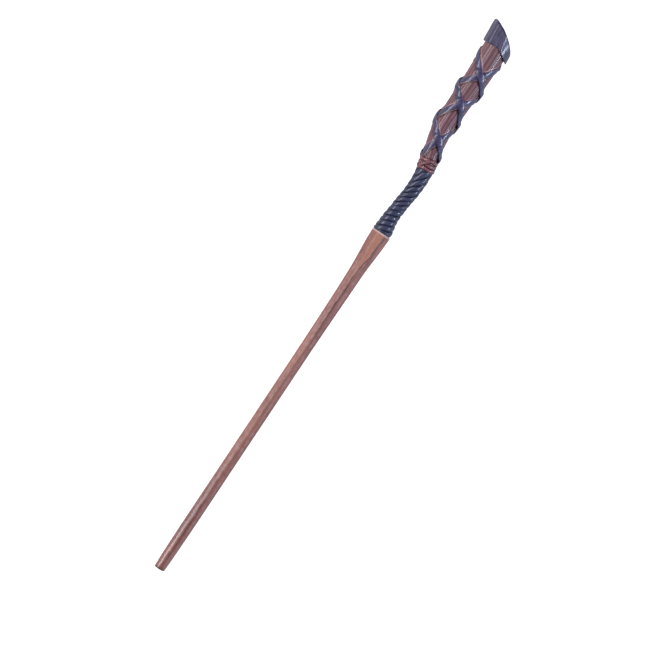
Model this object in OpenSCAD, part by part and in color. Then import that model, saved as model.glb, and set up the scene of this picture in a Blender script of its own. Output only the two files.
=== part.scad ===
// Magic wand: a whittled wooden shaft, a cord-wrapped neck and a carved grip
// with a leather lattice and an oblique end cap.
// The wand lies on a surface: +X runs from the tip to the cap, the grip bends
// towards +Y, and Z = 0 is the surface. Units are millimetres.

/* [Shaft] */
// Length of bare shaft, from the tip to the neck wrap
shaft_len = 225; // [180:5:270]
// Diameter at the tip
tip_d = 6.8; // [5.5:0.1:8.5]
// Diameter along the slender part
shaft_d = 7.3; // [6:0.1:9]
// Diameter at the neck wrap
flare_d = 11.6; // [10:0.1:14]
// Length over which the shaft swells towards the neck
flare_len = 85; // [60:5:110]
// Depth of the long whittled flats at the tip
flat_depth = 0.2; // [0.1:0.05:0.3]

/* [Neck] */
// Length of the cord-wrapped neck
neck_len = 43; // [35:1:52]
// Length of the steep lower turns
whipping_len = 16; // [13:0.5:19]
// Outside diameter at the waist of the neck
waist_d = 8.7; // [7.5:0.1:10.5]
// Outside diameter where the neck meets the grip
neck_top_d = 10; // [9:0.1:12]
// Thickness of the neck cords
cord_t = 1.4; // [1:0.1:1.7]
// Sideways sway of the neck
neck_sway = 0.9; // [0.5:0.1:1.2]

/* [Grip] */
// Length of the carved grip, from the neck to the cap's rim
grip_len = 78; // [65:1:94]
// Diameter of the wood at the neck
grip_root_d = 8.4; // [7.2:0.1:10]
// Diameter of the wood where the grip fills out
grip_low_d = 11.3; // [10.5:0.1:13.6]
// Diameter of the wood under the cap
grip_top_d = 15; // [12.5:0.1:18]
// How far the grip stands to one side of the shaft's axis
crook = 4.2; // [3:0.1:5.1]

/* [Lattice] */
// Width of a leather strap
strap_w = 3.7; // [2.8:0.1:4.5]
// Thickness of a leather strap
strap_t = 0.75; // [0.6:0.05:1]
// Length along the grip of one full turn of a strap
strap_lead = 44; // [36:1:52]

/* [Binding] */
// Width of the binding over all its turns
binding_w = 7; // [5.5:0.5:8.5]
// Thickness of the binding cord
binding_t = 1.4; // [1:0.1:1.7]

/* [Cap] */
// Thickness of the cap's skirt, which sleeves the grip
skirt_t = 1.35; // [1:0.05:2]
// Length from the cap's rim to its highest point
cap_len = 14; // [12:0.5:17]
// Degrees that the cap leans towards the side that the grip bends to
cap_lean = 4.5; // [0:0.5:6]
// Height of the low shoulder above the rim
shoulder_h = 1; // [0:0.5:3]
// How far the end face bulges from its chord
crown = 1.6; // [0.5:0.1:2.5]
// How far the skirt hangs below the rim on the low side
skirt_drop = 5.4; // [4:0.1:6.5]
// Diameter of the tenon that holds the cap
tenon_d = 9; // [7:0.1:11]

/* [Steel core] */
// Diameter of the core rod
rod_d = 2.4; // [2:0.1:2.8]
// How far the rod reaches into the shaft
rod_in_shaft = 80; // [60:5:100]
// How far the rod reaches into the grip
rod_in_grip = 18; // [14:1:20]

/* [Fits] */
// Glue gap round the rod and the tenon, on the radius
glue_gap = 0.05; // [0.03:0.01:0.1]
// Gap between a cord or strap and what it lies on
lay_gap = 0.08; // [0.06:0.01:0.12]

/* [Hidden] */

whippings = 3;
strands = 6;

// Stations along the shaft's axis
neck_at = shaft_len;
grip_at = neck_at + neck_len;
rim_at = grip_at + grip_len;
overall = rim_at + cap_len;
waist_at = neck_at + 0.44 * neck_len;
whipping_end = neck_at + whipping_len;
binding_at = grip_at - 0.4;
strap_at = binding_at + binding_w + 1.5;
crossing_at = grip_at + 17;
skirt_at = rim_at - skirt_drop;

// Radii
tip_r = tip_d / 2;
shaft_r = shaft_d / 2;
flare_r = flare_d / 2;
rod_r = rod_d / 2;
tenon_r = tenon_d / 2;
tip_round = 0.8;
end_bevel = 0.4;
apex_round = 1.4;
tenon_len = 3.6;
skirt_gap = 0.15;
cap_r = grip_top_d / 2 + skirt_gap + skirt_t;

// Degrees that a cord turns in a millimetre at the low end of its lay, and what it
// has lost of that at the high end
whipping_rate = 39;
whipping_loss = 5;
strand_rate = 21;
strand_loss = 10.4;

// The crossings face this many degrees round from the top
lattice_turn = 10;
// Two straps cross at every quarter of their lead
crossing_step = strap_lead / 4;
crossings = floor((rim_at - 4 - crossing_at) / crossing_step);
last_crossing = crossing_at + crossings * crossing_step;
// The odd crossings lie at the sides. On the open side of the last of them the right-hand
// strap stops short of the left-hand one, which lies flat there.
side_last = crossings % 2 == 1;

// Centreline of the neck and grip: [station, sideways offset]
BENDS = [
    [neck_at, 0.2 * neck_sway],
    [neck_at + 10, 0.9 * neck_sway],
    [neck_at + 20, 0.1 * neck_sway],
    [neck_at + 29, -neck_sway],
    [grip_at - 5, -neck_sway],
    [grip_at + 4, 0.1 * crook],
    [grip_at + 22, 0.95 * crook],
    [grip_at + 40, crook],
    [grip_at + 56, 0.9 * crook],
    [rim_at, 0.95 * crook]
];
last_bend = len(BENDS) - 1;
to_degrees = 180 / PI;

function square_of(x) = x * x;
function ease(t) = let(c = min(1, max(0, t))) c * c * (3 - 2 * c);

// Smooth curve through the bends, flat at both ends
function bend_slope(i) = i <= 0 || i >= last_bend ? 0
    : (BENDS[i + 1][1] - BENDS[i - 1][1]) / (BENDS[i + 1][0] - BENDS[i - 1][0]);
function bend_span(u, i = 0) =
    i >= last_bend - 1 || u < BENDS[i + 1][0] ? i : bend_span(u, i + 1);
function bow(u) =
    let(i = bend_span(u), h = BENDS[i + 1][0] - BENDS[i][0],
        t = min(1, max(0, (u - BENDS[i][0]) / h)))
    (1 + 2 * t) * square_of(1 - t) * BENDS[i][1]
    + t * t * (3 - 2 * t) * BENDS[i + 1][1]
    + t * square_of(1 - t) * h * bend_slope(i)
    - t * t * (1 - t) * h * bend_slope(i + 1);
function bow_slope(u) = (bow(u + 0.05) - bow(u - 0.05)) / 0.1;

// Point at station u, turned a degrees from the top towards -Y, r from the centreline
function place(u, a, r) =
    let(s = bow_slope(u), n = 1 / norm([1, s]))
    [u + r * sin(a) * s * n, bow(u) - r * sin(a) * n, r * cos(a)];

// Outside radii
function shaft_radius(u) =
    let(t = max(0, (u - neck_at + flare_len) / flare_len))
    u < 30 ? tip_r + (shaft_r - tip_r) * ease(u / 30)
    : shaft_r + (flare_r - shaft_r) * (0.6 * pow(t, 1.8)
        + 0.4 * ease((u - neck_at + 27) / 24));
function neck_radius(u) = waist_d / 2
    + (flare_r + 0.15 - waist_d / 2)
        * square_of(max(0, (waist_at - u) / (waist_at - neck_at)))
    + (neck_top_d - waist_d) / 2
        * square_of(max(0, (u - waist_at) / (grip_at - waist_at)));
function neck_core_radius(u) = neck_radius(u) - cord_t - lay_gap;
function grip_radius(u) =
    let(full_at = grip_at + 16,
        straight = grip_low_d / 2
            + (grip_top_d - grip_low_d) / 2 * (u - full_at) / (rim_at - full_at))
    grip_root_d / 2 + (straight - grip_root_d / 2) * ease((u - grip_at) / 20);

// A ring of points round the centreline
function ring(u, r, sides) = [for (j = [0:sides - 1]) place(u, 360 * j / sides, r)];

// Triangles that close a stack of rings into a solid
function skin(rings, sides) = [
    for (i = [0:rings - 1], j = [0:sides - 1])
        let(a = i * sides + j, b = i * sides + (j + 1) % sides)
        each [[a, b + sides, b], [a, a + sides, b + sides]],
    for (j = [1:sides - 2]) [0, j, j + 1],
    for (j = [1:sides - 2]) let(e = rings * sides) [e, e + j + 1, e + j]
];

// A round core along the centreline
module core(from, to, rings, sides, radius) {
    points = [
        for (i = [0:rings]) let(u = from + (to - from) * i / rings)
            each ring(u, radius(u), sides)
    ];
    polyhedron(points, skin(rings, sides), convexity = 6);
}

// A cord or strap wound on a core. turn(u) is where it lies, in degrees, base(u) the
// radius under it, lift(u) what raises it, and section(u, slope) its outline as
// [across, height] points.
module wound(from, to, rings, turn, base, lift, section) {
    sides = len(section(from, 45));
    points = [
        for (i = [0:rings])
            let(u = from + (to - from) * i / rings,
                r = base(u) + lay_gap,
                slope = atan(r * (turn(u + 0.05) - turn(u - 0.05)) / 0.1 / to_degrees))
            for (p = section(u, slope))
                let(v = u - p[0] * sin(slope))
                place(v, turn(u) + p[0] * cos(slope) / r * to_degrees,
                    base(v) + lay_gap + lift(u) + p[1])
    ];
    polyhedron(points, skin(rings, sides), convexity = 10);
}

// Outline of a flattened cord, w across and t high
function cord_outline(w, t) =
    [for (j = [0:7]) [-w / 2 * cos(45 * j), t / 2 * (1 + sin(45 * j))]];

// Outline of a strap with eased top edges
function strap_outline() = let(half = strap_w / 2) [
    [0, 0], [-half, 0], [-half, 0.7 * strap_t], [0.5 - half, strap_t],
    [0, strap_t], [half - 0.5, strap_t], [half, 0.7 * strap_t], [half, 0]
];

// Degrees turned by the steep lower turns and by the longer lay above them
function lay_turn(s, len, rate, loss) = rate * s - loss * s * s / len / 2;
function whipping_turn(u) =
    lay_turn(u - neck_at, whipping_len, whipping_rate, whipping_loss);
function strand_turn(u) = whipping_turn(whipping_end)
    + lay_turn(u - whipping_end, grip_at - whipping_end, strand_rate, strand_loss);

// Width at which count cords side by side just clear each other at half their height
function share(u, slope, count) =
    let(r = neck_core_radius(u) + lay_gap, mid = r + cord_t / 2,
        steep = atan(tan(slope) * mid / r))
    (2 * PI * mid / count * cos(steep) - lay_gap)
        / (sin(slope) * sin(steep) + cos(slope) * cos(steep) * mid / r);

// Lays the wand down on its tip and on its cap or its highest crossing
crossing_r = grip_radius(last_crossing) + 2 * (strap_t + lay_gap);
lean = atan(max((crossing_r - tip_r) / (last_crossing - tip_round),
    (cap_r - tip_r) / (rim_at - tip_round)));
side_shift = (crook + cap_r - flare_r) / 2;
module lay_down() {
    translate([-overall / 2, -side_shift, 0])
        rotate([0, -lean, 0]) translate([0, 0, tip_r / cos(lean)]) children();
}

module shaft_outline() {
    steps = 44;
    polygon([
        [0, 0], [tip_r - tip_round, 0],
        for (i = [1:3]) [tip_r - tip_round * (1 - sin(30 * i)), tip_round * (1 - cos(30 * i))],
        for (i = [1:steps - 1]) let(u = (neck_at - end_bevel) * i / steps) [shaft_radius(u), u],
        [flare_r, neck_at - end_bevel], [flare_r - end_bevel, neck_at], [0, neck_at]
    ]);
}

// One long flat, deepest at the tip and fading out along the shaft
module whittled_flat(turn, reach) {
    start = tip_r - flat_depth;
    rotate([turn, 0, 0]) translate([0, 0, start])
        rotate([0, -atan((shaft_r - start + 0.02) / reach), 0])
            translate([-5, -tip_d, 0]) cube([reach + 5, 2 * tip_d, tip_d]);
}

module shaft() {
    color("#8a5a4c") lay_down() difference() {
        rotate([0, 90, 0]) rotate_extrude($fn = 96) shaft_outline();
        for (i = [0:7]) whittled_flat(45 * i + 8 * (i % 3), 90 + 8 * (i % 4));
        translate([neck_at - rod_in_shaft, 0, 0]) rotate([0, 90, 0])
            cylinder(r = rod_r + glue_gap, h = rod_in_shaft + 1, $fn = 48);
    }
}

module core_rod() {
    color("#9aa0a6") lay_down() translate([neck_at - rod_in_shaft + glue_gap, 0, 0])
        rotate([0, 90, 0])
            cylinder(r = rod_r, h = rod_in_shaft + neck_len + rod_in_grip - 2 * glue_gap,
                $fn = 48);
}

// Clears the rod all the way through the neck and into the grip
module rod_bore() {
    translate([neck_at - 1, 0, 0]) rotate([0, 90, 0])
        cylinder(r = rod_r + glue_gap, h = 1 + neck_len + rod_in_grip, $fn = 48);
}

module neck_core() {
    color("#6b4a3e") lay_down() difference() {
        core(neck_at + glue_gap, grip_at, 18, 16, function(u) neck_core_radius(u));
        rod_bore();
    }
}

module whipping(i) {
    color("#2b2a3a") lay_down()
        wound(neck_at + 1.4, whipping_end, 40,
            function(u) whipping_turn(u) + 360 * i / whippings,
            function(u) neck_core_radius(u), function(u) 0,
            function(u, slope) cord_outline(share(u, slope, whippings), cord_t));
}

// The strands start just above the top edge of the lower turns, which climbs
// from each cord's end to the next
function strand_start(i) = whipping_end + 1.2 + 1.3 * (i % 2);

module neck_strand(i) {
    color("#2b2a3a") lay_down()
        wound(strand_start(i), grip_at - 1.7, 24,
            function(u) strand_turn(u) + 360 * i / strands,
            function(u) neck_core_radius(u), function(u) 0,
            function(u, slope) cord_outline(share(u, slope, strands), cord_t));
}

// The binding's turns lie side by side
binding_turns = 3;
binding_pitch = binding_w / binding_turns;

module binding_cord() {
    color("#5a2326") lay_down()
        wound(binding_at + binding_pitch / 2, binding_at + binding_w - binding_pitch / 2, 48,
            function(u) 120 - 360 * (u - binding_at) / binding_pitch,
            function(u) max(grip_radius(u), neck_core_radius(grip_at)), function(u) 0,
            function(u, slope) cord_outline(binding_pitch * 0.95, binding_t));
}

// The end of the binding is led slantwise over the turns and tucked in
module binding_hitch() {
    color("#5a2326") lay_down()
        wound(binding_at + 0.2 * binding_w, binding_at + 0.8 * binding_w, 12,
            function(u) -75 + 120 * (u - binding_at) / binding_w,
            function(u) grip_radius(u) + binding_t + lay_gap, function(u) 0,
            function(u, slope) cord_outline(binding_pitch * 0.8, 0.7 * binding_t));
}

module grip_core() {
    color("#7b4a45") lay_down() difference() {
        union() {
            core(grip_at + glue_gap, rim_at, 40, 24, function(u) grip_radius(u));
            cap_place() translate([0, 0, -1]) cylinder(r = tenon_r, h = tenon_len + 1, $fn = 64);
        }
        rod_bore();
    }
}

// Distance along the grip to the nearest crossing
function to_crossing(u) =
    let(k = round((u - crossing_at) / crossing_step)) abs(u - crossing_at - k * crossing_step);

// The left-hand straps ride over the right-hand ones, up to a last crossing
function strap_lift(u, last) = u > last + crossing_step / 2 ? 0 :
    (strap_t + lay_gap) * (1 - ease((to_crossing(u) - 0.37 * strap_w - 0.7) / 1.8));

// A strap from the binding to a station. It winds right-handed for hand = 1 and
// left-handed for hand = -1, and starts half_turn degrees round.
module strap(hand, half_turn, to, lift) {
    color("#2e2b3d") lay_down()
        wound(strap_at, to, 76,
            function(u) lattice_turn + half_turn + hand * 360 * (u - crossing_at) / strap_lead,
            function(u) grip_radius(u), lift, function(u, slope) strap_outline());
}

// Straps on the low side end at the skirt
strap_end = skirt_at - 1.8;

module strap_right_1() { strap(1, 0, strap_end, function(u) 0); }

module strap_right_2() {
    strap(1, 180, side_last ? last_crossing - strap_w : strap_end, function(u) 0);
}

module strap_left_1() {
    last = side_last ? last_crossing - crossing_step : last_crossing;
    strap(-1, 0, side_last ? last_crossing + 2 : strap_end, function(u) strap_lift(u, last));
}

module strap_left_2() {
    strap(-1, 180, strap_end, function(u) strap_lift(u, last_crossing));
}

// Where the cap sits on the grip's end
module cap_place() {
    translate([rim_at, bow(rim_at), 0]) rotate([0, 0, cap_lean]) rotate([0, 90, 0]) children();
}

// The cap seen from above, from the centre of its rim: upright side, crowned oblique end,
// low shoulder, slanted skirt and straight rim
module cap_outline() {
    top = [cap_len, cap_r - 0.3];
    low = [shoulder_h, -cap_r];
    chord = norm(top - low);
    crown_r = chord * chord / (8 * crown) + crown / 2;
    half_span = asin(chord / 2 / crown_r);
    slope = atan2(top[0] - low[0], top[1] - low[1]);
    middle = (top + low) / 2 - (crown_r - crown) * [cos(slope), -sin(slope)];
    outside = cap_r + 2;
    polygon([
        [0, outside], [cap_len - apex_round, outside], [cap_len - 0.3 * apex_round, cap_r + 0.5],
        for (i = [0:8]) let(a = half_span * (1 - i / 4) - slope)
            middle + crown_r * [cos(a), sin(a)],
        [-1, -outside], [-skirt_drop - 0.6, -outside], [0, -0.16 * cap_r]
    ]);
}

module pommel_cap() {
    color("#3a3648") lay_down() difference() {
        intersection() {
            cap_place() translate([0, 0, -skirt_drop - 1])
                cylinder(r = cap_r, h = skirt_drop + cap_len + 2, $fn = 96);
            translate([rim_at, bow(rim_at), -2 * cap_r]) linear_extrude(4 * cap_r) cap_outline();
        }
        cap_place() translate([0, 0, -skirt_drop - 2])
            cylinder(r = grip_top_d / 2 + skirt_gap, h = skirt_drop + 2 + glue_gap, $fn = 96);
        cap_place() cylinder(r = tenon_r + glue_gap, h = tenon_len + glue_gap, $fn = 64);
    }
}

shaft();
core_rod();
neck_core();
whipping(0);  // whipping_1
whipping(1);  // whipping_2
whipping(2);  // whipping_3
neck_strand(0);  // neck_strand_1
neck_strand(1);  // neck_strand_2
neck_strand(2);  // neck_strand_3
neck_strand(3);  // neck_strand_4
neck_strand(4);  // neck_strand_5
neck_strand(5);  // neck_strand_6
binding_cord();
binding_hitch();
grip_core();
strap_right_1();
strap_right_2();
strap_left_1();
strap_left_2();
pommel_cap();
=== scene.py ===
import math
import bmesh
import bpy
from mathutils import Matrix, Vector, noise


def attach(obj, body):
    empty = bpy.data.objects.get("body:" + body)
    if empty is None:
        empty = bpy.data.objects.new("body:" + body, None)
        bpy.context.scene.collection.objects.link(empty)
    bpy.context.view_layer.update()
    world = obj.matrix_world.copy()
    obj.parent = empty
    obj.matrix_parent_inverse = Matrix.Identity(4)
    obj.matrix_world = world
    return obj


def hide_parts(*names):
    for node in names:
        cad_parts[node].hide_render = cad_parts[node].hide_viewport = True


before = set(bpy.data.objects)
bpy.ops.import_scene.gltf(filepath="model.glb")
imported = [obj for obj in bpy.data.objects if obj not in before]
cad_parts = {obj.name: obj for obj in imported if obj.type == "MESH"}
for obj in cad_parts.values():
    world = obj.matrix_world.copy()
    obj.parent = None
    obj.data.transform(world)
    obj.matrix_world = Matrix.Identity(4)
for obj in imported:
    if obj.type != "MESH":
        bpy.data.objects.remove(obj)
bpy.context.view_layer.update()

# Core rod. A steel rod, drawn and lightly polished, runs hidden from the shaft through
# the neck into the grip and keeps the thin neck from snapping.


def put(tree, kind, sockets=None, **settings):
    """Adds a shader node. sockets gives an input a value or links it to an output."""
    node = tree.nodes.new(kind)
    for name, value in settings.items():
        setattr(node, name, value)
    for key, value in (sockets or {}).items():
        if isinstance(value, bpy.types.NodeSocket):
            tree.links.new(value, node.inputs[key])
        else:
            node.inputs[key].default_value = value
    return node


def tint(red, green, blue):
    """A screen colour of 0 to 255 a channel, as the shader's linear colour."""
    channels = [c / 255 for c in (red, green, blue)]
    return [c / 12.92 if c < 0.04045 else ((c + 0.055) / 1.055) ** 2.4 for c in channels] + [1]


def finish_named(name):
    """A new material, its node tree and its Principled shader."""
    material = bpy.data.materials.new(name)
    material.use_nodes = True
    tree = material.node_tree
    return material, tree, tree.nodes["Principled BSDF"]


def stretched(tree, vector, scale):
    return put(tree, "ShaderNodeMapping", {"Vector": vector, "Scale": scale}).outputs[0]


def speckle(tree, vector, scale=1.0, detail=3.0, roughness=0.5, distortion=0.0):
    sockets = {"Vector": vector, "Scale": scale, "Detail": detail}
    sockets.update({"Roughness": roughness, "Distortion": distortion})
    return put(tree, "ShaderNodeTexNoise", sockets).outputs["Fac"]


def spread(tree, value, low, high, to_low=0.0, to_high=1.0):
    """Stretches the part of a value between low and high to a new range."""
    sockets = {"Value": value, "From Min": low, "From Max": high}
    sockets.update({"To Min": to_low, "To Max": to_high})
    return put(tree, "ShaderNodeMapRange", sockets).outputs["Result"]


def blend_colour(tree, factor, first, second, way="MIX"):
    node = put(tree, "ShaderNodeMix", {0: factor, 6: first, 7: second},
               data_type="RGBA", blend_type=way)
    return node.outputs[2]


def sum_of(tree, first, second, way="ADD"):
    return put(tree, "ShaderNodeMath", {0: first, 1: second}, operation=way).outputs[0]


def object_coords(tree):
    return put(tree, "ShaderNodeTexCoord").outputs["Object"]


def bumped(tree, shader, height, strength, distance):
    sockets = {"Height": height, "Strength": strength, "Distance": distance}
    bump = put(tree, "ShaderNodeBump", sockets)
    tree.links.new(bump.outputs["Normal"], shader.inputs["Normal"])


rod_steel, tree, shader = finish_named("drawn_steel")
rod_coords = object_coords(tree)
draw_lines = speckle(tree, stretched(tree, rod_coords, (40, 3000, 3000)), detail=4)
rust_bloom = spread(tree, speckle(tree, rod_coords, 220, 5, 0.65), 0.55, 0.72)
steel_colour = blend_colour(tree, draw_lines, tint(150, 152, 158), tint(196, 198, 204))
steel_colour = blend_colour(tree, rust_bloom, steel_colour, tint(120, 92, 74))
tree.links.new(steel_colour, shader.inputs["Base Color"])
tree.links.new(spread(tree, draw_lines, 0.3, 0.7, 0.25, 0.45), shader.inputs["Roughness"])
shader.inputs["Metallic"].default_value = 0.9
bumped(tree, shader, draw_lines, 0.3, 0.0002)
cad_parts["core_rod"].data.materials.clear()
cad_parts["core_rod"].data.materials.append(rod_steel)

# Shaft. One stick of hardwood, whittled to eight long uneven flats that meet at soft
# arrises, with a rounded tip and a swollen butt that is pared down with two extra cuts.
# It carries a thin reddish stain that dust and handling have greyed.
MM = 0.001
SHAFT_LEN, FLARE_LEN, OVERALL = 225, 85, 360
TIP_R, SHAFT_R, FLARE_R = 3.4, 3.65, 5.8
# The tip thins over its last 30 mm, is worn down at its very end, and is rounded over
TIP_LEN, WORN_TIP_LEN, WORN_TIP = 30, 9, 0.3
TIP_ROUND, END_BEVEL = 0.8, 0.4
# The share of the flare's swelling that comes late, and the stretch before the butt
LATE_SWELL, LATE_FROM, LATE_LEN = 0.4, 27, 24
LEAN = math.radians(0.9293)
SIDE_SHIFT = 3.7
# Each flat: degrees round from the top towards -Y, and how deep it is cut
FLATS = ((-24, -0.05), (13, 0.06), (62, 0.14), (110, 0.14), (158, 0.12), (206, 0.16),
         (256, 0.12), (302, 0.06))
# How far a flat turns and on what length, and how its depth varies
FLAT_WANDER, WANDER_LEN = 3, 70
DEPTH_WANDER, DEPTH_LEN, LEAST_DEPTH = 0.4, 23, 0.035
# Each paring cut at the butt: degrees round, where it starts, its depth at the end, and
# how much fresh wood it shows
PARINGS = ((4, 186, 0.6, 1), (38, 192, 0.6, 0.1), (-38, 200, 0.42, 0.5), (150, 195, 0.6, 0.7),
           (228, 203, 0.5, 0.4))
# Cut wood looks fresh from this depth on, in mm
FRESH_FROM = 0.05
# A drying crack that follows the grain: station and degrees round
CRACK = ((153, 9), (172, 2), (186, 7), (197, 1), (209, 22), (223, 37))
CRACK_W, CRACK_TAPER, CRACK_WANDER = 0.3, 12, 3
# How crisp the arrises are, how narrow their pale wear and painted highlight are, and what sanding took
# off
ARRIS_SHARPNESS, WEAR_AND_SHEEN_SHARPNESS, SANDED = 16, 9, 0.05
# The pale arris wear and painted highlight on the end edges, the width of the pale rim, and the length of
# the darkened end of the tip
END_WEAR_AND_SHEEN, PALE_RIM, DARK_TIP = 0.8, 1.1, 2.4
# The butt was whittled a little off the shaft's centreline, towards the side of the bend
DRIFT, DRIFT_LEN = 0.3, 42


def ease(t):
    t = min(1, max(0, t))
    return t * t * (3 - 2 * t)


def wobble(x, y=0.0, z=0.0):
    """Smooth seeded unevenness between about -1 and 1."""
    return noise.noise(Vector((x, y, z))) * 1.6


def laid_down(x, y, z):
    """A point of the straight wand, in mm, where the wand lies on its tip and cap."""
    high = z + TIP_R / math.cos(LEAN)
    across = math.cos(LEAN) * x - math.sin(LEAN) * high
    up = math.sin(LEAN) * x + math.cos(LEAN) * high
    return Vector((across - OVERALL / 2, y - SIDE_SHIFT, up)) * MM


def shaft_radius(u):
    if u < TIP_LEN:
        worn = WORN_TIP * (1 - min(1, u / WORN_TIP_LEN)) ** 2
        return TIP_R + (SHAFT_R - TIP_R) * ease(u / TIP_LEN) - worn
    t = max(0, (u - SHAFT_LEN + FLARE_LEN) / FLARE_LEN)
    late = ease((u - SHAFT_LEN + LATE_FROM) / LATE_LEN)
    return SHAFT_R + (FLARE_R - SHAFT_R) * ((1 - LATE_SWELL) * t ** 1.8 + LATE_SWELL * late)


def cut_back(left, a, facing):
    """How far from the axis a flat cut that leaves this much wood meets a degrees round."""
    away = math.cos(math.radians(a - facing))
    return left / away if away > 0.5 else math.inf


def blended(cuts, sharpness):
    """The nearest of several cuts, with the edges between them softened."""
    return -math.log(sum(math.exp(-sharpness * cut) for cut in cuts)) / sharpness


def whittled(u, a):
    """Radius of the shaft at station u, a degrees round, how near an arris that is, and
    how fresh the wood is."""
    full = shaft_radius(u)
    cuts = [full]
    for i, (facing, depth) in enumerate(FLATS):
        turned = facing + FLAT_WANDER * wobble(u / WANDER_LEN, 3.1 * i)
        dip = depth * (1 + DEPTH_WANDER * wobble(u / DEPTH_LEN, 7.7 * i)) + LEAST_DEPTH * full
        cuts.append(cut_back(full - dip, a, turned))
    flat, fresh = min(cuts), 0
    for facing, begin, depth, pale in PARINGS:
        if u > begin:
            deep = depth * ease((u - begin) / (SHAFT_LEN - begin)) ** 0.8
            cut = cut_back(full - deep, a, facing)
            if cut < min(cuts):
                fresh = pale * ease((flat - cut) / FRESH_FROM)
            cuts.append(cut)
    cuts.sort()
    arris = math.exp(-WEAR_AND_SHEEN_SHARPNESS * (cuts[1] - cuts[0]))
    return min(blended(cuts, ARRIS_SHARPNESS), full - SANDED), arris, fresh


def in_crack(u, a):
    """1 in the middle of the crack, fading to 0 beside it."""
    for (low, before), (high, after) in zip(CRACK, CRACK[1:]):
        if low <= u < high:
            middle = before + (after - before) * (u - low) / (high - low)
            off = abs((a - middle - CRACK_WANDER * wobble(u / 4, 2) + 180) % 360 - 180)
            opened = min(1, (u - CRACK[0][0]) / CRACK_TAPER)
            wide = CRACK_W * opened * (1 + 0.5 * wobble(u / 5, 6))
            return 1 - ease(math.radians(off) * shaft_radius(u) / wide / 1.6)
    return 0


def rolled_skin(name, rings, sides, point, along=None, layers=()):
    """Rolls a grid of faces into a closed skin. point(ring, share of the way round) gives
    a vertex's place, along(ring) its length for the UV map, and a point may also return
    a value for each named layer."""
    bm = bmesh.new()
    uv = bm.loops.layers.uv.new("lay")
    kept = [bm.verts.layers.float.new(layer) for layer in layers]
    bmesh.ops.create_grid(bm, x_segments=rings, y_segments=sides, size=0.5, calc_uvs=True)
    for vert in bm.verts:
        ring = round((vert.co.x + 0.5) * rings)
        place, *values = point(ring, (vert.co.y + 0.5) % 1)
        vert.co = place
        for layer, value in zip(kept, values):
            vert[layer] = value
    if along:
        for face in bm.faces:
            for loop in face.loops:
                spot = loop[uv].uv
                spot.x = along(round(spot.x * rings))
    bmesh.ops.remove_doubles(bm, verts=bm.verts, dist=1e-6)
    bmesh.ops.dissolve_degenerate(bm, dist=1e-7, edges=bm.edges)
    bmesh.ops.holes_fill(bm, edges=[e for e in bm.edges if e.is_boundary], sides=0)
    bmesh.ops.recalc_face_normals(bm, faces=bm.faces)
    for face in bm.faces:
        face.smooth = True
    mesh = bpy.data.meshes.new(name)
    bm.to_mesh(mesh)
    bm.free()
    piece = bpy.data.objects.new(name, mesh)
    bpy.context.scene.collection.objects.link(piece)
    return piece


def shader_group(name, inputs, outputs):
    """A node group, with its input and output nodes."""
    tree = bpy.data.node_groups.new(name, "ShaderNodeTree")
    for label, kind, value in inputs:
        socket = tree.interface.new_socket(label, in_out="INPUT", socket_type=kind)
        if value is not None:
            socket.default_value = value
    for label in outputs:
        tree.interface.new_socket(label, in_out="OUTPUT", socket_type="NodeSocketFloat")
    return tree, tree.nodes.new("NodeGroupInput").outputs, tree.nodes.new("NodeGroupOutput")


# Grain that runs along X: broad streaks, fine fibres and slow patches of colour
grain, given, gives = shader_group(
    "grain", [("Vector", "NodeSocketVector", None), ("Width", "NodeSocketFloat", 1.0)],
    ["Streaks", "Fibres", "Patches"])
sized = put(grain, "ShaderNodeVectorMath", {0: given[0], 3: given[1]}, operation="SCALE")
sized = sized.outputs[0]
streaks = speckle(grain, stretched(grain, sized, (16, 620, 620)), 1, 4, 0.6, 0.4)
fibres = speckle(grain, stretched(grain, sized, (90, 3600, 3600)), 1, 3, 0.55)
patches = speckle(grain, stretched(grain, sized, (26, 150, 150)), 1, 2, 0.5, 0.3)
grain.links.new(spread(grain, streaks, 0.34, 0.66), gives.inputs[0])
grain.links.new(spread(grain, fibres, 0.3, 0.7), gives.inputs[1])
grain.links.new(spread(grain, patches, 0.42, 0.62), gives.inputs[2])

# Rubbing: turns a mask of edges into broken, patchy wear, and on some edges a broken, patchy painted
# highlight
rubbing, given, gives = shader_group(
    "rubbing", [("Vector", "NodeSocketVector", None), ("Edge", "NodeSocketFloat", 0.0),
                ("Size", "NodeSocketFloat", 300.0)], ["Worn"])
broken = put(rubbing, "ShaderNodeTexNoise",
             {"Vector": given[0], "Scale": given[2], "Detail": 5.0, "Roughness": 0.65})
broken = spread(rubbing, broken.outputs["Fac"], 0.35, 0.62)
rubbing.links.new(sum_of(rubbing, broken, given[1], "MULTIPLY"), gives.inputs[0])


def group_node(tree, group, sockets):
    node = tree.nodes.new("ShaderNodeGroup")
    node.node_tree = group
    for key, value in sockets.items():
        if isinstance(value, bpy.types.NodeSocket):
            tree.links.new(value, node.inputs[key])
        else:
            node.inputs[key].default_value = value
    return node.outputs


def attribute(tree, name):
    return put(tree, "ShaderNodeAttribute", attribute_name=name).outputs["Fac"]


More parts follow.
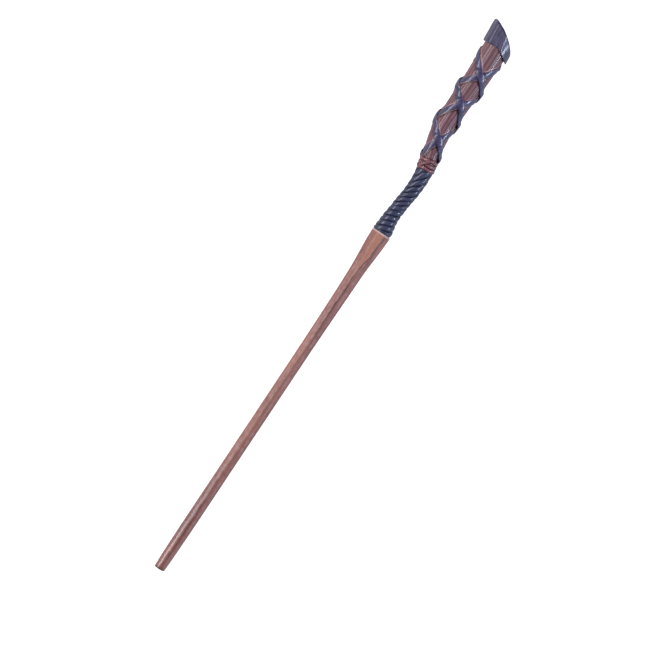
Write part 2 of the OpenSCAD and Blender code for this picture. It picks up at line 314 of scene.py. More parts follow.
# The rings of the shaft: the station of each, and its share of the shaft's radius there
ROUND_STEPS, LENGTH_STEPS, BEVEL_STEPS, SHAFT_SIDES = 6, 250, 3, 144
stations = [0, 0, 0]
scales = [0, 0.4, 0.75]
for i in range(ROUND_STEPS + 1):
    turned = math.pi / 2 * i / ROUND_STEPS
    stations.append(TIP_ROUND * (1 - math.cos(turned)))
    scales.append(1 - TIP_ROUND / TIP_R * (1 - math.sin(turned)))
for i in range(1, LENGTH_STEPS + 1):
    stations.append(TIP_ROUND + (SHAFT_LEN - END_BEVEL - TIP_ROUND) * i / LENGTH_STEPS)
    scales.append(1)
for i in range(1, BEVEL_STEPS + 1):
    turned = math.pi / 2 * i / BEVEL_STEPS
    stations.append(SHAFT_LEN - END_BEVEL * (1 - math.sin(turned)))
    scales.append(1 - END_BEVEL / FLARE_R * (1 - math.cos(turned)))
stations += [SHAFT_LEN, SHAFT_LEN]
scales += [0.5, 0]


def shaft_point(ring, way):
    u, a = stations[ring], 360 * way
    radius, arris, fresh = whittled(max(u, 0.01), a)
    if u >= SHAFT_LEN - END_BEVEL or u < TIP_ROUND:
        arris = END_WEAR_AND_SHEEN
    radius *= scales[ring]
    drift = DRIFT * ease((u - SHAFT_LEN + DRIFT_LEN) / DRIFT_LEN)
    spot = laid_down(u, drift - radius * math.sin(math.radians(a)),
                     radius * math.cos(math.radians(a)))
    darkened_tip = 1 - ease(u / DARK_TIP)
    rim = ease((u - SHAFT_LEN + PALE_RIM + 0.3 * wobble(a / 40)) / 0.7)
    return spot, arris, darkened_tip, rim, fresh, in_crack(u, a)


whittled_shaft = rolled_skin("whittled_shaft", len(stations) - 1, SHAFT_SIDES, shaft_point,
                             lambda ring: stations[ring] / 100,
                             ("arris", "darkened_tip", "rim", "fresh", "crack"))
shaft_wood, tree, shader = finish_named("stained_wood")
coords = object_coords(tree)
streaks, fibres, patches = group_node(tree, grain, {"Vector": coords})
arris = attribute(tree, "arris")
colour = blend_colour(tree, streaks, tint(117, 71, 64), tint(184, 123, 110))
colour = blend_colour(tree, sum_of(tree, patches, 0.45, "MULTIPLY"), colour, tint(180, 120, 98))
colour = blend_colour(tree, sum_of(tree, attribute(tree, "fresh"), 0.6, "MULTIPLY"),
                      colour, tint(204, 142, 114))
dark_lines = sum_of(tree, spread(tree, fibres, 0.45, 0.0), 0.6, "MULTIPLY")
colour = blend_colour(tree, dark_lines, colour, tint(92, 58, 58))
# pale wear along the arrises and ends, partly a painted highlight
worn = group_node(tree, rubbing, {"Vector": coords, "Edge": arris, "Size": 420})[0]
colour = blend_colour(tree, sum_of(tree, worn, 0.6, "MULTIPLY"), colour, tint(206, 172, 168))
colour = blend_colour(tree, sum_of(tree, attribute(tree, "crack"), 0.85, "MULTIPLY"),
                      colour, tint(66, 34, 36))
colour = blend_colour(tree, attribute(tree, "rim"), colour, tint(222, 192, 178))
# darker towards the very end of the tip
colour = blend_colour(tree, sum_of(tree, attribute(tree, "darkened_tip"), 0.7, "MULTIPLY"),
                      colour, tint(84, 62, 62))
tree.links.new(colour, shader.inputs["Base Color"])
smudges = speckle(tree, stretched(tree, coords, (60, 200, 200)), 1, 4, 0.6)
# The end that points and is touched most is the smoothest, and its polish fades out
POLISH_LEN = 110
length = put(tree, "ShaderNodeSeparateXYZ", {"Vector": coords}).outputs["X"]
tip_x = -OVERALL / 2 * MM
dull = spread(tree, length, tip_x, tip_x + POLISH_LEN * MM, 0.15, 0.56)
dull = sum_of(tree, dull, spread(tree, smudges, 0.3, 0.7, -0.03, 0.03))
tree.links.new(dull, shader.inputs["Roughness"])
height = sum_of(tree, fibres, sum_of(tree, streaks, 1.5, "MULTIPLY"))
bumped(tree, shader, height, 0.06, 0.0002)
whittled_shaft.data.materials.append(shaft_wood)
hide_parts("shaft")
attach(whittled_shaft, "root")

# Neck core. The thin wood that joins the shaft to the grip, left rough under its cords,
# and dark with the wax that soaked through them.
core_wood, tree, shader = finish_named("waxed_core_wood")
coords = object_coords(tree)
streaks, fibres, patches = group_node(tree, grain, {"Vector": coords})
colour = blend_colour(tree, streaks, tint(30, 27, 38), tint(62, 46, 48))
colour = blend_colour(tree, sum_of(tree, fibres, 0.4, "MULTIPLY"), colour, tint(24, 22, 32))
tree.links.new(colour, shader.inputs["Base Color"])
tree.links.new(spread(tree, patches, 0, 1, 0.5, 0.75), shader.inputs["Roughness"])
bumped(tree, shader, fibres, 0.4, 0.0002)
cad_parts["neck_core"].data.materials.clear()
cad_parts["neck_core"].data.materials.append(core_wood)

# Whippings. Three waxed cords, flattened as they were pulled tight, wind steeply round
# the bottom of the neck and hide the joint with the shaft's butt.
NECK_LEN, WHIPPING_LEN = 43, 16
WAIST_R, NECK_TOP_R = 4.35, 5.0
CORD_T, LAY_GAP = 1.4, 0.08
# How much thicker than the waist's curve the neck starts, beside the shaft's butt
NECK_STEP = 0.15
GRIP_AT = SHAFT_LEN + NECK_LEN
WAIST_AT = SHAFT_LEN + 0.44 * NECK_LEN
WHIPPING_END = SHAFT_LEN + WHIPPING_LEN
WHIPPINGS = 3
WHIPPING_RATE, WHIPPING_LOSS = 39, 5
SWAY, CROOK, RIM_AT = 0.9, 4.2, 346
# Centreline of the neck and grip: station and sideways offset
BENDS = ((SHAFT_LEN, 0.2 * SWAY + 0.9 * DRIFT), (SHAFT_LEN + 10, 0.9 * SWAY), (SHAFT_LEN + 20, 0.1 * SWAY),
         (SHAFT_LEN + 29, -SWAY), (GRIP_AT - 5, -SWAY), (GRIP_AT + 4, 0.1 * CROOK),
         (GRIP_AT + 22, 0.95 * CROOK), (GRIP_AT + 40, CROOK), (GRIP_AT + 56, 0.9 * CROOK),
         (RIM_AT, 0.95 * CROOK))


def bend_slope(i):
    if i <= 0 or i >= len(BENDS) - 1:
        return 0
    return (BENDS[i + 1][1] - BENDS[i - 1][1]) / (BENDS[i + 1][0] - BENDS[i - 1][0])


def bow(u):
    """Sideways offset of the centreline at station u."""
    i = 0
    while i < len(BENDS) - 2 and u >= BENDS[i + 1][0]:
        i += 1
    (low, before), (high, after) = BENDS[i], BENDS[i + 1]
    h = high - low
    t = min(1, max(0, (u - low) / h))
    return ((1 + 2 * t) * (1 - t) ** 2 * before + t * t * (3 - 2 * t) * after
            + t * (1 - t) ** 2 * h * bend_slope(i) - t * t * (1 - t) * h * bend_slope(i + 1))


def placed(u, a, r):
    """The point at station u, a degrees from the top towards -Y, r from the centreline."""
    s = (bow(u + 0.05) - bow(u - 0.05)) / 0.1
    n = 1 / math.hypot(1, s)
    side = r * math.sin(math.radians(a)) * n
    return laid_down(u + side * s, bow(u) - side, r * math.cos(math.radians(a)))


def neck_radius(u):
    below = max(0, (WAIST_AT - u) / (WAIST_AT - SHAFT_LEN))
    above = max(0, (u - WAIST_AT) / (GRIP_AT - WAIST_AT))
    return (WAIST_R + (FLARE_R + NECK_STEP - WAIST_R) * below ** 2
            + (NECK_TOP_R - WAIST_R) * above ** 2)


def neck_core_radius(u):
    return neck_radius(u) - CORD_T - LAY_GAP


def wound_piece(name, begin, end, rings, sides, turn, base, section, lift, layers=()):
    """Winds a bar round a core. turn(u) is where it lies in degrees, base(u) the radius
    under it, lift(u) what raises it, and section(u, slope, way, near) a point of its
    outline, across and up. near is the distance in mm to the nearer end."""
    frames = []
    walked = 0
    for i in range(rings + 1):
        # the rings stand closer together near the two ends, where the cord closes
        part = i / rings
        part = 0.35 * part + 0.65 * (0.5 - 0.5 * math.cos(math.pi * part))
        u = begin + (end - begin) * part
        r = base(u) + LAY_GAP
        slope = math.atan(math.radians(turn(u + 0.05) - turn(u - 0.05)) / 0.1 * r)
        if frames:
            walked += (u - frames[-1][0]) / math.cos(slope)
        frames.append((u, r, slope, walked))
    whole = frames[-1][3]

    def point(ring, way):
        u, r, slope, passed = frames[ring]
        near = min(passed, whole - passed)
        across, up, *values = section(u, slope, way, near)
        v = u - across * math.sin(slope)
        a = turn(u) + math.degrees(across * math.cos(slope) / r)
        return placed(v, a, base(v) + LAY_GAP + lift(u) + up), *values

    return rolled_skin(name, rings, sides, point, lambda ring: frames[ring][3] / 10, layers)


def whipping_turn(u):
    s = u - SHAFT_LEN
    return WHIPPING_RATE * s - WHIPPING_LOSS * s * s / WHIPPING_LEN / 2


def fair_share(u, slope, count):
    """Width at which count cords side by side just touch at half their height."""
    r = neck_core_radius(u) + LAY_GAP
    mid = r + CORD_T / 2
    steep = math.atan(math.tan(slope) * mid / r)
    room = 2 * math.pi * mid / count * math.cos(steep) - LAY_GAP
    return room / (math.sin(slope) * math.sin(steep) + math.cos(slope) * math.cos(steep) * mid / r)


CORD_END_ROUND = 0.9


def oval(way, width, high, near):
    """A point of a flattened cord's outline, from the middle of its underside round,
    drawn in to nothing at the cord's ends, with its height round the section."""
    a = 2 * math.pi * way
    across, up = -math.sin(a), -math.cos(a)
    tight = math.sqrt(max(0, 1 - max(0, 1 - near / CORD_END_ROUND) ** 2))
    return width / 2 * across * tight, high / 2 * (1 + up * tight), 0.5 + 0.5 * up


# How much higher and wider a cord is than the even one, as it bulges under tension
PLUMP_H, PLUMP_W = 1.05, 1.04


def cord_section(seed, count):
    """The outline of one uneven cord of the neck."""
    def section(u, slope, way, near):
        swell = 1 + 0.07 * wobble(u / 2.2, seed)
        wander = 0.22 * wobble(u / 3.5, seed, 5)
        width = fair_share(u, slope, count) * PLUMP_W * (1 + 0.06 * wobble(u / 2.8, seed, 9))
        across, up, crest = oval(way, width, CORD_T * PLUMP_H * swell, near)
        return across + wander, up, crest
    return section


cord_wax, tree, shader = finish_named("waxed_cord")
lay = put(tree, "ShaderNodeUVMap", uv_map="lay").outputs[0]
coords = object_coords(tree)
turned = put(tree, "ShaderNodeMapping",
             {"Vector": lay, "Rotation": (0, 0, math.radians(32)), "Scale": (5, 9, 1)})
yarn = speckle(tree, turned.outputs[0], 3, 3, 0.6)
scuffs = speckle(tree, coords, 900, 4, 0.6)
crest = attribute(tree, "crest")
colour = blend_colour(tree, scuffs, tint(28, 33, 56), tint(56, 61, 92))
rubbed = group_node(tree, rubbing, {"Vector": coords, "Edge": spread(tree, crest, 0.75, 1.0),
                                    "Size": 700})[0]
colour = blend_colour(tree, sum_of(tree, rubbed, 0.3, "MULTIPLY"), colour, tint(100, 102, 138))
# painted shade: each cord darkens towards its underside, where the grooves between the cords lie
colour = blend_colour(tree, spread(tree, crest, 0.85, 0.5), colour, tint(16, 15, 26))
tree.links.new(colour, shader.inputs["Base Color"])
tree.links.new(spread(tree, scuffs, 0.3, 0.7, 0.4, 0.58), shader.inputs["Roughness"])
shader.inputs["Coat Weight"].default_value = 0.42
shader.inputs["Coat Roughness"].default_value = 0.14
bumped(tree, shader, sum_of(tree, yarn, scuffs), 0.35, 0.0003)


def dives(begin, end, depth, reach):
    """A lift that tucks both ends of a cord under its neighbours."""
    def lift(u):
        into = max(ease((begin + reach - u) / reach), ease((u - end + reach) / reach))
        return -depth * into
    return lift


# How deep the cords' ends dive, and how far they run on at either end
TUCK, IN_BUTT, UNDER_STRANDS = 1.0, 3.2, 1.6


def whipping_base(v):
    """The cords dive under the shaft's butt at the bottom of the neck."""
    into = ease((SHAFT_LEN + 1.1 - v) / 1.4) + ease((SHAFT_LEN - v) / 1.5)
    return neck_core_radius(max(v, SHAFT_LEN)) - TUCK * into


for i in range(WHIPPINGS):
    begin, end = SHAFT_LEN - IN_BUTT, WHIPPING_END + UNDER_STRANDS
    whipping = wound_piece(
        f"whipping_cord_{i + 1}", begin, end, 190, 20,
        lambda u: whipping_turn(u) + 360 * i / WHIPPINGS, whipping_base,
        cord_section(11 + i, WHIPPINGS), dives(begin - 3, end, TUCK, 1.5), ("crest",))
    whipping.data.materials.append(cord_wax)
    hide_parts(f"whipping_{i + 1}")
    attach(whipping, "root")

# Neck strands. Six lengths of the same cord start under the top of the whippings and
# lie ever straighter up to the grip, where the binding holds them down.
STRANDS = 6
STRAND_RATE, STRAND_LOSS = 21, 10.4
UNDER_WHIPPINGS, STAGGER, UNDER_BINDING = 3, 0.8, 0.4


def strand_turn(u):
    s = u - WHIPPING_END
    return (whipping_turn(WHIPPING_END) + STRAND_RATE * s
            - STRAND_LOSS * s * s / (GRIP_AT - WHIPPING_END) / 2)


for i in range(STRANDS):
    begin, end = WHIPPING_END - UNDER_WHIPPINGS + STAGGER * (i % 2), GRIP_AT + UNDER_BINDING
    strand = wound_piece(
        f"neck_cord_{i + 1}", begin, end, 110, 20,
        lambda u: strand_turn(u) + 360 * i / STRANDS, neck_core_radius,
        cord_section(31 + i, STRANDS), dives(begin, end + 3, TUCK, 3), ("crest",))
    strand.data.materials.append(cord_wax)
    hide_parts(f"neck_strand_{i + 1}")
    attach(strand, "root")

# Grip core. Dark hardwood, thickest under the cap, scored lengthwise with shallow
# gouge cuts and polished by the hand where the straps leave it open.
GRIP_ROOT_R, GRIP_LOW_R, GRIP_TOP_R = 4.2, 5.65, 7.5
STRAP_W, STRAP_T, STRAP_LEAD = 3.7, 0.75, 44
FULL_AT, FILL_LEN = GRIP_AT + 16, 20
BINDING_AT, BINDING_W = GRIP_AT - 0.4, 7
CROSSING_AT, LATTICE_TURN = GRIP_AT + 17, 10
CROSSING_STEP = STRAP_LEAD / 4
LAST_CROSSING = CROSSING_AT + 5 * CROSSING_STEP
# The straps stop short of the cap's skirt, which hangs lower on one side
SKIRT_DROP, STRAP_SHORT = 5.4, 1.8
STRAP_END = RIM_AT - SKIRT_DROP - STRAP_SHORT
# Each strap: its name, the way it winds, degrees round, where it ends, the last crossing
# at which it rides over another, and its seed
STRAPS = (("right_1", 1, 0, STRAP_END, None, 50),
          ("right_2", 1, 180, LAST_CROSSING - STRAP_W, None, 70),
          ("left_1", -1, 0, LAST_CROSSING + 2, LAST_CROSSING - CROSSING_STEP, 41),
          ("left_2", -1, 180, STRAP_END, LAST_CROSSING, 61))
# Where the hand laid the lattice off its even stations, by how much and over what length
HAND_SHIFTS, HAND_SHIFT_LEN = ((308, -1.5), (327.5, 1.5)), 8
# How far from a strap its painted shadow and its painted highlight reach
STRAP_SHADE_REACH = 1.1
GROOVES, GROOVE_DEPTH, GROOVE_NARROWNESS, GROOVE_RUN_OUT = 21, 0.11, 2.2, 8


def grip_radius(u):
    straight = GRIP_LOW_R + (GRIP_TOP_R - GRIP_LOW_R) * (u - FULL_AT) / (RIM_AT - FULL_AT)
    return GRIP_ROOT_R + (straight - GRIP_ROOT_R) * ease((u - GRIP_AT) / FILL_LEN)


def hand_laid(u):
    """The station of an even lattice that lies at u in this one, which a hand has laid
    a little unevenly."""
    return u + sum(shift * math.exp(-((u - at) / HAND_SHIFT_LEN) ** 2)
                   for at, shift in HAND_SHIFTS)


def strap_turn(u, hand, half_turn):
    return LATTICE_TURN + half_turn + hand * 360 * (hand_laid(u) - CROSSING_AT) / STRAP_LEAD


def beside_strap(u, a):
    """1 right below the edge of a strap, where a painted shadow darkens the wood, and -1
    right above one, where a painted highlight makes it pale. Both fade out a little way off."""
    nearest, side = 99, 0
    for _, hand, half_turn, end, _, _ in STRAPS:
        off = (a - strap_turn(u, hand, half_turn) + 180) % 360 - 180
        arc = math.radians(off) * grip_radius(u)
        slope = math.atan(grip_radius(u) * 2 * math.pi / STRAP_LEAD)
        apart = abs(arc) * math.cos(slope) - STRAP_W / 2
        if apart < nearest and u + arc * hand * math.sin(slope) * math.cos(slope) < end:
            nearest, side = apart, math.copysign(1, arc * hand)
    return side * (1 - ease(nearest / STRAP_SHADE_REACH))


# The wood runs from just inside the neck to just inside the cap
GRIP_RINGS, GRIP_SIDES = 230, 372
GRIP_BOTTOM, GRIP_TOP = GRIP_AT - 1, RIM_AT + 2


def grip_point(ring, way):
    part = min(1, max(0, (ring - 1) / (GRIP_RINGS - 2)))
    u = GRIP_BOTTOM + (GRIP_TOP - GRIP_BOTTOM) * part
    a = 360 * way
    shift = 0.5 * wobble(u / 40, way * 4) + 0.35 * wobble(u / 9, way * 9)
    cut = math.cos(math.radians(a * GROOVES) + shift)
    depth = GROOVE_DEPTH * (0.75 + 0.35 * wobble(u / 30, way * 6, 2))
    groove = (0.5 + 0.5 * cut) ** GROOVE_NARROWNESS
    dip = depth * groove * ease((u - GRIP_AT) / GROOVE_RUN_OUT)
    radius = grip_radius(max(u, GRIP_AT)) - dip
    if ring in (0, GRIP_RINGS):
        radius = 0
    return placed(u, a, radius), groove, beside_strap(u, a)


grooved_grip = rolled_skin("grooved_grip", GRIP_RINGS, GRIP_SIDES, grip_point, None,
                           ("groove", "shade"))
grip_wood, tree, shader = finish_named("polished_grip_wood")
coords = object_coords(tree)
streaks, fibres, patches = group_node(tree, grain, {"Vector": coords})
groove = attribute(tree, "groove")
colour = blend_colour(tree, streaks, tint(114, 68, 79), tint(158, 105, 116))
colour = blend_colour(tree, sum_of(tree, patches, 0.4, "MULTIPLY"), colour, tint(132, 114, 102))
colour = blend_colour(tree, sum_of(tree, groove, 0.7, "MULTIPLY"), colour, tint(78, 40, 50))
dark_lines = sum_of(tree, spread(tree, fibres, 0.45, 0.0), 0.4, "MULTIPLY")
colour = blend_colour(tree, dark_lines, colour, tint(70, 38, 46))
shade = attribute(tree, "shade")
# painted shadow below the straps' edges, and a painted highlight above them
colour = blend_colour(tree, spread(tree, shade, 0, 1, 0, 0.85), colour, tint(60, 24, 34))
colour = blend_colour(tree, spread(tree, shade, -0.35, -1, 0, 0.85), colour, tint(216, 170, 176))
tree.links.new(colour, shader.inputs["Base Color"])
tree.links.new(spread(tree, patches, 0, 1, 0.46, 0.58), shader.inputs["Roughness"])
shader.inputs["Coat Weight"].default_value = 0.3
shader.inputs["Coat Roughness"].default_value = 0.12
bumped(tree, shader, streaks, 0.03, 0.0002)
grooved_grip.data.materials.append(grip_wood)
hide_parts("grip_core")
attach(grooved_grip, "root")

# Straps. Four strips of dyed leather, cut with a knife so that their edges show the
# raw tan hide, are wound two each way and glued. The left-hand ones ride over the rest. The raw edges
# carry a painted highlight on the walls that face the light.
STRAP_AT = BINDING_AT + 0.5 * BINDING_W
# How deep the binding presses a strap, and the stretch in which it comes out from under
PRESSED, PRESSED_TO, PRESSED_LEN = 0.6, BINDING_AT + BINDING_W - 1.6, 2.2
# At a crossing the upper strap lies flat over the lower one, then comes down
FLAT_OVER, COMES_DOWN = 0.37 * STRAP_W + 0.7, 1.8
# A strap's side walls lean in, and its top is crowned: shares of its thickness
SIDE_LEAN, WALL_SHARE, CROWN_SHARE = 0.1, 0.68, 0.32
STRAP_RINGS, STRAP_SIDES = 260, 60


def strap_lift(u, last):
    """How high a strap rides at station u. It is pressed down under the binding."""
    pressed = -PRESSED * (1 - ease((u - PRESSED_TO) / PRESSED_LEN))
    if last is None or u > last + CROSSING_STEP / 2:
        return pressed
    even = hand_laid(u) - CROSSING_AT
    off = abs(even - CROSSING_STEP * round(even / CROSSING_STEP))
    over = (STRAP_T + LAY_GAP) * (1 - ease((off - FLAT_OVER) / COMES_DOWN))
    return over + pressed


def strap_section(seed, hand):
    """A strap's outline: half its underside, one knife-cut side, the crowned top, the
    other side and the rest of the underside, with how much raw hide and painted highlight each edge shows
    and where a painted shadow darkens it."""
    def section(u, slope, way, near):
        wide = STRAP_W / 2 * (1 + 0.05 * wobble(u / 4, seed))
        wander = 0.18 * wobble(u / 6, seed, 3)
        thick = STRAP_T * (0.97 + 0.07 * wobble(u / 2.5, seed, 6))
        edge, painted_wall_shadow = 0, 0
        if way < 0.2:
            across, up = -wide * way / 0.2, 0
        elif way < 0.3:
            t = (way - 0.2) / 0.1
            across, up = -wide + SIDE_LEAN * t, WALL_SHARE * thick * t
            # lower wall: a painted shadow on left-hand straps, raw hide brightened as a painted highlight
            # on right-hand ones
            edge, painted_wall_shadow = (0, 1) if hand < 0 else (0.6, 0)
        elif way <= 0.7:
            t = (way - 0.3) / 0.4 * 2 - 1
            across = (wide - SIDE_LEAN) * t
            up = thick * (WALL_SHARE + CROWN_SHARE * (1 - abs(t) ** 2.6))
            edge = ease((t - 0.84) / 0.1) if hand > 0 else 0
            painted_wall_shadow = 0 if hand > 0 else ease((-t - 0.86) / 0.1)
        elif way < 0.8:
            t = (0.8 - way) / 0.1
            across, up = wide - SIDE_LEAN * t, WALL_SHARE * thick * t
            edge = 0.6 if hand < 0 else 1
        else:
            across, up = wide * (1 - way) / 0.2, 0
        # the end is skived thin, and closes within its last tenth of a millimetre
        thin = 0.25 + 0.75 * ease(near / 1.2)
        closed = ease(near / 0.1)
        across *= (0.9 + 0.1 * closed) * min(1, near * 8 + 0.02)
        return across + wander, up * thin * closed, max(edge, 1 - ease(near / 0.6)), painted_wall_shadow
    return section


strap_hide, tree, shader = finish_named("dyed_strap_leather")
lay = put(tree, "ShaderNodeUVMap", uv_map="lay").outputs[0]
coords = object_coords(tree)
pores = put(tree, "ShaderNodeTexVoronoi", {"Vector": coords, "Scale": 2600.0})
pores = pores.outputs["Distance"]
creases = speckle(tree, coords, 600, 5, 0.6)
edge = attribute(tree, "edge")
colour = blend_colour(tree, creases, tint(44, 39, 68), tint(92, 84, 124))
raw = group_node(tree, rubbing, {"Vector": coords, "Edge": spread(tree, edge, 0.25, 0.7),
                                 "Size": 500})[0]
# raw tan hide on the knife-cut edges, brightened as a painted highlight on the walls that face the light
colour = blend_colour(tree, raw, colour, tint(206, 166, 128))
# painted shadow: near black on the lower walls of the left-hand straps
colour = blend_colour(tree, attribute(tree, "painted_wall_shadow"), colour, tint(26, 20, 30))
tree.links.new(colour, shader.inputs["Base Color"])
tree.links.new(spread(tree, creases, 0.3, 0.7, 0.26, 0.46), shader.inputs["Roughness"])
shader.inputs["Coat Weight"].default_value = 0.48
shader.inputs["Coat Roughness"].default_value = 0.15
bumped(tree, shader, sum_of(tree, pores, creases), 0.3, 0.00025)

for name, hand, half_turn, end, last, seed in STRAPS:
    strap = wound_piece(
        f"leather_{name}", STRAP_AT, end, STRAP_RINGS, STRAP_SIDES,
        lambda u: strap_turn(u, hand, half_turn), grip_radius, strap_section(seed, hand),
        lambda u: strap_lift(u, last), ("edge", "painted_wall_shadow"))
    strap.data.materials.append(strap_hide)
    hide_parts(f"strap_{name}")
    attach(strap, "root")

# Binding. One dark red cord is wound three times over the ends of the straps and the
# strands, and its end is led slantwise over the turns and tucked in.
BINDING_TURNS, BINDING_T = 3, 1.4
BINDING_PITCH = BINDING_W / BINDING_TURNS
# The hitch is the same cord pulled flat. Its ends go down between the turns.
HITCH_W, HITCH_T, HITCH_RIDES, HITCH_DIVES, HITCH_HALF = 0.8 * BINDING_PITCH, 1, 0.85, 0.9, 3.2
# What the cord lies on is never lower than this above the wood of the neck
OVER_STRANDS = 0.82
binding_red, tree, shader = finish_named("red_binding_cord")
lay = put(tree, "ShaderNodeUVMap", uv_map="lay").outputs[0]
coords = object_coords(tree)
turned = put(tree, "ShaderNodeMapping",
             {"Vector": lay, "Rotation": (0, 0, math.radians(40)), "Scale": (6, 7, 1)})
yarn = speckle(tree, turned.outputs[0], 3, 3, 0.6)
scuffs = speckle(tree, coords, 700, 4, 0.6)
crest = attribute(tree, "crest")
colour = blend_colour(tree, scuffs, tint(70, 24, 32), tint(128, 60, 68))
rubbed = group_node(tree, rubbing, {"Vector": coords, "Edge": spread(tree, crest, 0.7, 1.0),
                                    "Size": 600})[0]
# pale rubbed wax on the crests, partly a painted highlight
colour = blend_colour(tree, sum_of(tree, rubbed, 0.45, "MULTIPLY"), colour, tint(200, 140, 146))
# painted shade: each turn darkens towards its underside, deep in the gaps between the turns
colour = blend_colour(tree, spread(tree, crest, 0.92, 0.6), colour, tint(22, 8, 14))
tree.links.new(colour, shader.inputs["Base Color"])
tree.links.new(spread(tree, scuffs, 0.3, 0.7, 0.3, 0.5), shader.inputs["Roughness"])
shader.inputs["Coat Weight"].default_value = 0.45
shader.inputs["Coat Roughness"].default_value = 0.2
bumped(tree, shader, sum_of(tree, yarn, scuffs), 0.5, 0.0004)


def rough_cord(seed, width, high):
    def section(u, slope, way, near):
        swell = 0.85 + 0.11 * wobble(u * 2.1, seed) + 0.09 * wobble(u * 6, seed, 8)
        wander = 0.5 * wobble(u * 2.6, seed, 4)
        spread_out = 1 + 0.1 * wobble(u * 2, seed, 2)
        across, up, crest = oval(way, width * spread_out, high * swell, near)
        return across + wander, up, crest
    return section


def binding_base(u):
    return max(grip_radius(u), neck_core_radius(GRIP_AT) + OVER_STRANDS)


red_turns = wound_piece(
    "red_binding", BINDING_AT + 0.2, BINDING_AT + BINDING_W - 0.2, 380, 24,
    lambda u: 120 - 360 * (u - BINDING_AT) / BINDING_PITCH, binding_base,
    rough_cord(51, BINDING_PITCH * 0.95, BINDING_T * 1.05), lambda u: 0, ("crest",))
red_hitch = wound_piece(
    "red_hitch", BINDING_AT + 0.1 * BINDING_W, BINDING_AT + 0.9 * BINDING_W, 90, 20,
    lambda u: -75 + 120 * (u - BINDING_AT) / BINDING_W, binding_base,
    rough_cord(57, HITCH_W, HITCH_T),
    lambda u: HITCH_RIDES - HITCH_DIVES * ease(abs(u - BINDING_AT - BINDING_W / 2) / HITCH_HALF) ** 2,
    ("crest",))
for piece, node in ((red_turns, "binding_cord"), (red_hitch, "binding_hitch")):
    piece.data.materials.append(binding_red)
    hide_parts(node)
    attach(piece, "root")

# Pommel cap. A cap of stiff moulded leather sleeves the end of the grip and is glued on
# its tenon. Its end is cut at a slant, and on the low side its skirt reaches down.
CAP_R, SOCKET_R, CAP_LEN, SHOULDER_H = 9.0, 7.65, 14, 1
CAP_LEAN = math.radians(4.5)
# The skirt's slant starts this far past the middle and would end below the skirt's corner
SKIRT_FROM, SLANT_DROP, SLANT_AT = 0.16 * CAP_R, SKIRT_DROP + 0.6, CAP_R + 2
# The end face: how far it rises, over what width, and how far its middle bulges
END_RISE, END_ACROSS, END_BULGE = CAP_LEN - SHOULDER_H, 2 * CAP_R - 0.3, 1.6
BULGE_UP = 4 * END_BULGE * END_ACROSS / math.hypot(END_RISE, END_ACROSS)
BULGE_SIDE = 4 * END_BULGE * END_RISE / math.hypot(END_RISE, END_ACROSS)
# Each flat of the cap: degrees round, its depth at the rim, how fast it deepens upwards
CAP_FLATS = ((-10, 0.9, 0), (30.5, 0.19, 0.1), (85, 0.1, 0.02), (-68, 0.3, 0), (150, 0.5, 0.02),
             (205, 0.4, 0.03), (250, 0.35, 0))
CREASE_SHARPNESS, DENT, FACE_WAVE, PRESSED_FLAT = 12, 0.07, 0.09, 0.008
CAP_SIDES, SIDE_STEPS, FACE_STEPS = 320, 26, 22


def skirt_line(y):
    """How far the rim stands above or below its upright part at y across it."""
    return min(0, (y + SKIRT_FROM) * SLANT_DROP / (SLANT_AT - SKIRT_FROM))


def end_face(y):
    """How far the slanted, crowned end stands above the rim at y across it."""
    s = 0.5
    for _ in range(6):
        s = (y + CAP_R + BULGE_SIDE * s * (1 - s)) / END_ACROSS
        s = min(1, max(0, s))
    return SHOULDER_H + END_RISE * s + BULGE_UP * s * (1 - s)


def cap_side(a, x):
    cuts = [CAP_R]
    for facing, depth, taper in CAP_FLATS:
        cuts.append(cut_back(CAP_R - depth - taper * max(0, x), a, facing))
    return blended(cuts, CREASE_SHARPNESS) - DENT * (1 + wobble(a / 13, x / 5))


# The cap's profile, from the bottom of its socket round the rim to the middle of its end:
# share of the side radius, share of the height, mm above that
SOCKET = SOCKET_R / CAP_R
cap_profile = [(0, 0, 2), (0.4, 0, 2), (SOCKET, 0, 2), (SOCKET, 0, 1), (SOCKET, 0, 0.3),
               (SOCKET + 0.03, 0, 0)]
cap_profile += [(1 - 0.045 * (1 - math.sin(t)), 0, 0.4 * (1 - math.cos(t)))
                for t in (0, 0.3, 0.7, 1.1, 1.57)]
cap_profile += [(1, i / SIDE_STEPS, 0) for i in range(2, SIDE_STEPS - 1)]
cap_profile += [(1 - 0.12 * (1 - math.cos(t)), 1, -1.3 * (1 - math.sin(t)))
                for t in (0.2, 0.45, 0.7, 0.95, 1.2, 1.4)]
cap_profile += [(0.88 * i / FACE_STEPS, 1, 0) for i in range(FACE_STEPS, -1, -1)]


def cap_point(ring, way):
    share, part, more = cap_profile[ring]
    a = 360 * way
    x, y = 0, -CAP_R * share * math.sin(math.radians(a))
    for _ in range(5):
        radius = cap_side(a, x) * share
        across = -radius * math.sin(math.radians(a))
        low, high = skirt_line(y), end_face(y)
        x = low + (high - low) * part + more
        y = x * math.tan(CAP_LEAN) + across / math.cos(CAP_LEAN)
    z = radius * math.cos(math.radians(a))
    x += FACE_WAVE * wobble(y / 3.5, z / 3.5, x / 3.5) * (part > 0.1)
    z *= 1 - PRESSED_FLAT * min(1, share * 1.2)
    rim = 1 if part == 0 else 0
    return laid_down(RIM_AT + x, bow(RIM_AT) + y, z), rim


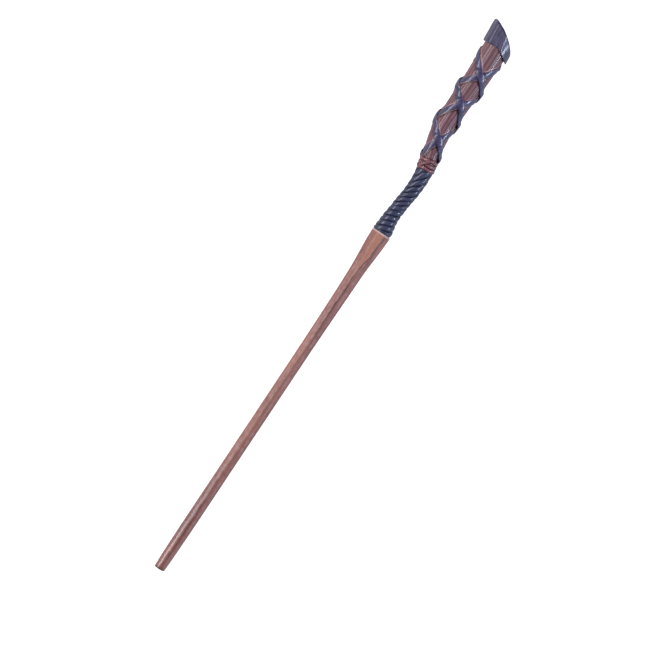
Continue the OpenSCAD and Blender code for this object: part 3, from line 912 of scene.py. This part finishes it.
leather_cap = rolled_skin("leather_cap", len(cap_profile) - 1, CAP_SIDES, cap_point, None,
                          ("rim",))
cap_hide, tree, shader = finish_named("moulded_cap_leather")
coords = object_coords(tree)
pores = put(tree, "ShaderNodeTexVoronoi", {"Vector": coords, "Scale": 1700.0})
pores = pores.outputs["Distance"]
mottle = speckle(tree, coords, 260, 5, 0.6)
colour = blend_colour(tree, spread(tree, mottle, 0.3, 0.7), tint(48, 42, 70), tint(80, 72, 106))
colour = blend_colour(tree, sum_of(tree, speckle(tree, coords, 1300, 3, 0.6), 0.25, "MULTIPLY"),
                      colour, tint(108, 100, 136))
raw = group_node(tree, rubbing, {"Vector": coords, "Edge": attribute(tree, "rim"), "Size": 350})[0]
colour = blend_colour(tree, raw, colour, tint(60, 50, 66))
tree.links.new(colour, shader.inputs["Base Color"])
tree.links.new(spread(tree, mottle, 0.3, 0.7, 0.36, 0.52), shader.inputs["Roughness"])
shader.inputs["Coat Weight"].default_value = 0.42
shader.inputs["Coat Roughness"].default_value = 0.18
bumped(tree, shader, sum_of(tree, pores, mottle), 0.25, 0.0004)
leather_cap.data.materials.append(cap_hide)
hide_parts("pommel_cap")
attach(leather_cap, "root")

# Studio. A plain white table under the wand, a soft key light on either side of it, and
# a camera straight above with a long lens.
bm = bmesh.new()
bmesh.ops.create_grid(bm, x_segments=1, y_segments=1, size=3)
mesh = bpy.data.meshes.new("table")
bm.to_mesh(mesh)
bm.free()
table = bpy.data.objects.new("table", mesh)
bpy.context.scene.collection.objects.link(table)
table_white, tree, shader = finish_named("table_white")
fleck = speckle(tree, object_coords(tree), 40, 3)
tree.links.new(blend_colour(tree, fleck, (0.86, 0.86, 0.86, 1), (0.9, 0.9, 0.9, 1)),
               shader.inputs["Base Color"])
shader.inputs["Roughness"].default_value = 0.9
shader.inputs["Emission Color"].default_value = (1, 1, 1, 1)
seen = put(tree, "ShaderNodeLightPath").outputs["Is Camera Ray"]
tree.links.new(spread(tree, seen, 0, 1, 0.05, 0.9), shader.inputs["Emission Strength"])
table.data.materials.append(table_white)

world = bpy.data.worlds.new("studio")
world.use_nodes = True
world.node_tree.nodes["Background"].inputs["Color"].default_value = (0.9, 0.92, 1, 1)
world.node_tree.nodes["Background"].inputs["Strength"].default_value = 0.12
bpy.context.scene.world = world


def softbox(name, degrees_down, bearing, away, wide, long, watts, colour):
    """An area light degrees_down from straight overhead, aimed at the wand. bearing is
    its direction in degrees round from +X."""
    light = bpy.data.lights.new(name, "AREA")
    light.shape = "RECTANGLE"
    light.size, light.size_y = wide, long
    light.energy, light.color = watts, colour
    lamp = bpy.data.objects.new(name, light)
    bpy.context.scene.collection.objects.link(lamp)
    down, round_by = math.radians(degrees_down), math.radians(bearing)
    lamp.location = (away * math.sin(down) * math.cos(round_by),
                     away * math.sin(down) * math.sin(round_by), away * math.cos(down))
    aim = Vector((0, 0, 0)) - lamp.location
    lamp.rotation_euler = aim.to_track_quat("-Z", "X").to_euler()


softbox("left_light", 45, 92, 0.9, 0.3, 0.9, 6.9, (0.97, 0.96, 1))
softbox("right_light", 59, -70, 0.93, 0.075, 0.34, 5, (0.72, 0.81, 1))

# How far the camera is turned, so that the wand lies slantwise across its view
WAND_TURN = math.radians(33.62)
VIEW_WIDTH, LENS, SENSOR = 0.3626, 300, 36
camera_data = bpy.data.cameras.new("camera")
camera_data.lens, camera_data.sensor_width = LENS, SENSOR
camera_data.clip_end = 20
camera = bpy.data.objects.new("camera", camera_data)
bpy.context.scene.collection.objects.link(camera)
camera.location = (-0.0153, -0.00553, VIEW_WIDTH * LENS / SENSOR + 0.006)
camera.rotation_euler = (0, 0, WAND_TURN - math.pi / 2)
bpy.context.scene.camera = camera
bpy.context.scene.view_settings.view_transform = "Standard"
